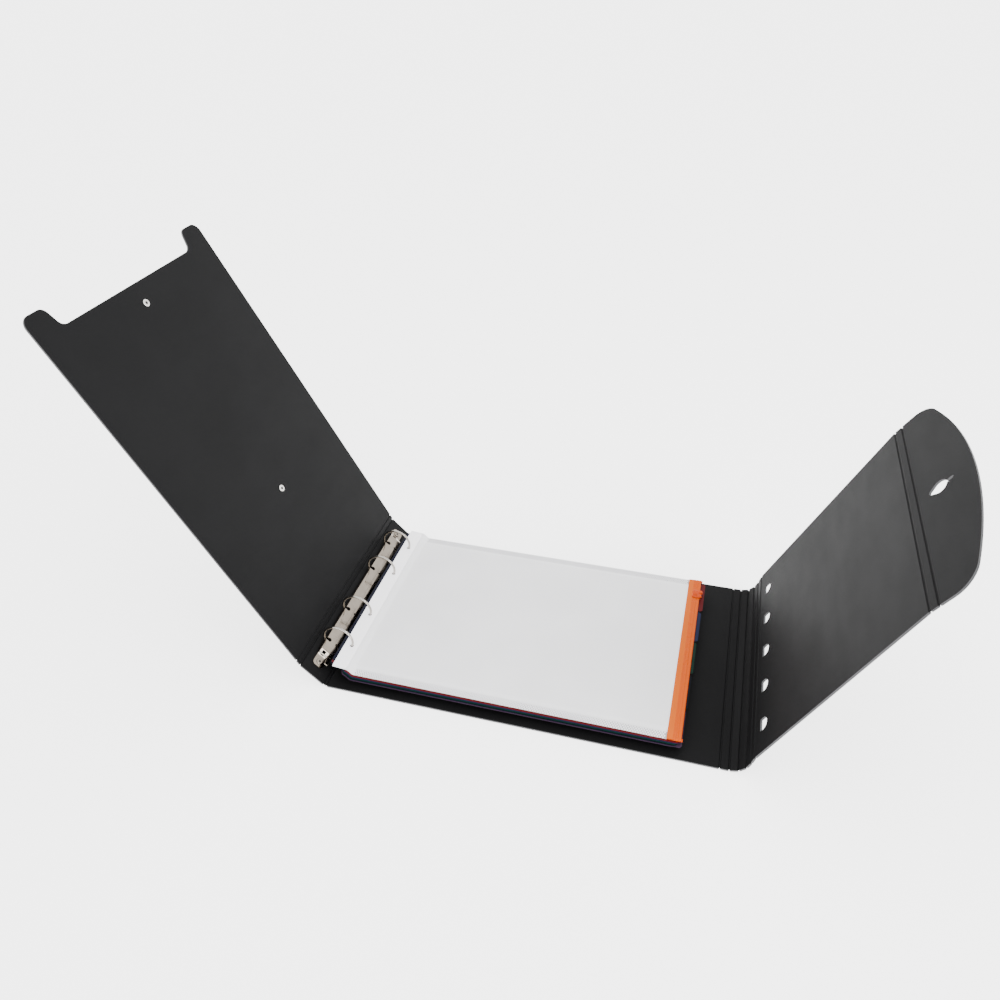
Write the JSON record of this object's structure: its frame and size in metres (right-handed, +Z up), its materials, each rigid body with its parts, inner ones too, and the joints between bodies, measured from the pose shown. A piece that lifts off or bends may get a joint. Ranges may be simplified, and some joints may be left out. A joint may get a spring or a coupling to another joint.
{
  "type": "four-ring binder",
  "caption": "Landscape ring binder of creased sheet standing open, with a wrap-around closing flap, zip pocket and tabbed dividers on its rings.",
  "frame": {"origin": "middle of the base panel's underside", "axes": "+X from the spine to the wrap-around flap, +Y along the spine, +Z up"},
  "size_m": [0.7046, 0.235, 0.3564],
  "materials": {
    "cover_sheet": "fine-grained matt black polypropylene sheet",
    "nickel_steel": "bright nickel-plated steel",
    "button_metal": "nickel-plated brass",
    "clear_film": "milky translucent polypropylene film",
    "white_strip": "opaque white film",
    "orange_band": "translucent orange band",
    "orange_track": "solid orange closure profile",
    "orange_slider": "moulded orange slider",
    "red_film": "translucent tinted film",
    "blue_film": "translucent tinted film",
    "teal_film": "translucent tinted film",
    "navy_film": "translucent tinted film",
    "grey_film": "translucent tinted film",
    "strip_film": "dark reinforcing strip"
  },
  "bodies": {
    "base": {"base_panel": "cover_sheet"},
    "spine_strip": {"spine_strip": "cover_sheet"},
    "spine": {"spine_panel": "cover_sheet", "ring_rail": "nickel_steel", "rail_rivets": "nickel_steel", "fixed_hinge_plate": "nickel_steel", "fixed_ring_halves": "nickel_steel", "lever_pin": "nickel_steel"},
    "cover_strip": {"cover_strip": "cover_sheet"},
    "cover": {"front_cover": "cover_sheet", "closing_button": "button_metal", "edge_rivet": "button_metal", "cover_washers": "button_metal"},
    "opening_rings": {"moving_hinge_plate": "nickel_steel", "moving_ring_halves": "nickel_steel"},
    "lever": {"trigger_lever": "nickel_steel"},
    "grey_sheet": {"grey_divider": "grey_film", "grey_divider_strip": "strip_film"},
    "navy_sheet": {"navy_divider": "navy_film", "navy_divider_strip": "strip_film"},
    "teal_sheet": {"teal_divider": "teal_film", "teal_divider_strip": "strip_film"},
    "blue_sheet": {"blue_divider": "blue_film", "blue_divider_strip": "strip_film"},
    "red_sheet": {"red_divider": "red_film", "red_divider_strip": "strip_film"},
    "pocket": {"pocket_bottom_film": "clear_film", "pocket_top_film": "clear_film", "pocket_ring_strip": "white_strip", "zip_band_lower": "orange_band", "zip_band_upper": "orange_band", "zip_track_lower": "orange_track", "zip_track_upper": "orange_track", "zip_end_stops": "orange_track"},
    "slider": {"zip_slider": "orange_slider"},
    "gusset_1": {"gusset_strip_1": "cover_sheet"},
    "gusset_2": {"gusset_strip_2": "cover_sheet"},
    "gusset_3": {"gusset_strip_3": "cover_sheet"},
    "gusset_4": {"gusset_strip_4": "cover_sheet"},
    "gusset_5": {"gusset_strip_5": "cover_sheet"},
    "flap": {"wrap_flap": "cover_sheet"},
    "tip_strip": {"tip_strip": "cover_sheet"},
    "tip": {"closing_tip": "cover_sheet"}
  },
  "joints": [
    {"name": "spine_fold", "type": "hinge", "parent": "base", "child": "spine", "pos_m": [-0.18638, 0, 0.0017], "axis": [0, 1, 0], "range_deg": [-43.5, 43.5]},
    {"name": "spine_strip_fold", "type": "hinge", "parent": "base", "child": "spine_strip", "pos_m": [-0.185, 0, 0.001], "axis": [0, 1, 0], "range_deg": [-21.76, 21.76]},
    {"name": "cover_strip_fold", "type": "hinge", "parent": "spine", "child": "cover_strip", "pos_m": [-0.20841, 0, 0.02417], "axis": [0, 1, 0], "range_deg": [-19.8, 24.5]},
    {"name": "cover_fold", "type": "hinge", "parent": "cover_strip", "child": "cover", "pos_m": [-0.21087, 0, 0.02997], "axis": [0, 1, 0], "range_deg": [0, 49]},
    {"name": "gusset_fold_1", "type": "hinge", "parent": "base", "child": "gusset_1", "pos_m": [0.185, 0, 0.001], "axis": [0, -1, 0], "range_deg": [-0.5, 89.5]},
    {"name": "gusset_fold_2", "type": "hinge", "parent": "gusset_1", "child": "gusset_2", "pos_m": [0.1931, 0, 0.00107], "axis": [0, 1, 0], "range_deg": [-10, 14.8]},
    {"name": "gusset_fold_3", "type": "hinge", "parent": "gusset_2", "child": "gusset_3", "pos_m": [0.20091, 0, 0.00321], "axis": [0, 1, 0], "range_deg": [-10, 31.9]},
    {"name": "gusset_fold_4", "type": "hinge", "parent": "gusset_3", "child": "gusset_4", "pos_m": [0.20642, 0, 0.00915], "axis": [0, 1, 0], "range_deg": [-10, 21.6]},
    {"name": "gusset_fold_5", "type": "hinge", "parent": "gusset_4", "child": "gusset_5", "pos_m": [0.20935, 0, 0.0167], "axis": [0, 1, 0], "range_deg": [-10, 8]},
    {"name": "flap_fold", "type": "hinge", "parent": "gusset_5", "child": "flap", "pos_m": [0.21119, 0, 0.02459], "axis": [0, -1, 0], "range_deg": [-30, 100.8]},
    {"name": "tip_strip_fold", "type": "hinge", "parent": "flap", "child": "tip_strip", "pos_m": [0.29539, 0, 0.21369], "axis": [0, -1, 0], "range_deg": [-20, 6.7]},
    {"name": "tip_lift", "type": "hinge", "parent": "tip_strip", "child": "tip", "pos_m": [0.29942, 0, 0.22049], "axis": [0, -1, 0], "range_deg": [-40, 0]},
    {"name": "ring_opening", "type": "hinge", "parent": "spine", "child": "opening_rings", "pos_m": [-0.20198, 0, 0.01993], "axis": [0, 1, 0], "range_deg": [-20, 0]},
    {"name": "trigger_press", "type": "hinge", "parent": "spine", "child": "lever", "pos_m": [-0.19631, -0.0935, 0.01649], "axis": [0.6884, 0, -0.7254], "range_deg": [-0.01, 20.01]},
    {"name": "sheet_level", "type": "hinge", "parent": "spine", "child": "grey_sheet", "pos_m": [-0.18673, 0, 0.02558], "axis": [0, 1, 0], "range_deg": [-43.51, 43.51]},
    {"name": "pocket_turn", "type": "hinge", "parent": "grey_sheet", "child": "pocket", "pos_m": [-0.18673, 0, 0.02558], "axis": [0, 1, 0], "range_deg": [-115, 0]},
    {"name": "red_turn", "type": "hinge", "parent": "grey_sheet", "child": "red_sheet", "pos_m": [-0.18673, 0, 0.02558], "axis": [0, 1, 0], "range_deg": [-92.01, 0.01]},
    {"name": "blue_turn", "type": "hinge", "parent": "grey_sheet", "child": "blue_sheet", "pos_m": [-0.18673, 0, 0.02558], "axis": [0, 1, 0], "range_deg": [-69.01, 0.01]},
    {"name": "teal_turn", "type": "hinge", "parent": "grey_sheet", "child": "teal_sheet", "pos_m": [-0.18673, 0, 0.02558], "axis": [0, 1, 0], "range_deg": [-46.01, 0.01]},
    {"name": "navy_turn", "type": "hinge", "parent": "grey_sheet", "child": "navy_sheet", "pos_m": [-0.18673, 0, 0.02558], "axis": [0, 1, 0], "range_deg": [-23.01, 0.01]},
    {"name": "zip_slide", "type": "slide", "parent": "pocket", "child": "slider", "axis": [0, 1, 0], "range_m": [-0.179, 0.011]}
  ],
  "couplings": [
    {"joint": "spine_strip_fold", "follows": "spine_fold", "ratio": 0.5},
    {"joint": "sheet_level", "follows": "spine_fold", "ratio": -1},
    {"joint": "trigger_press", "follows": "ring_opening", "ratio": -1},
    {"joint": "red_turn", "follows": "pocket_turn", "ratio": 0.8},
    {"joint": "blue_turn", "follows": "pocket_turn", "ratio": 0.6},
    {"joint": "teal_turn", "follows": "pocket_turn", "ratio": 0.4},
    {"joint": "navy_turn", "follows": "pocket_turn", "ratio": 0.2}
  ]
}
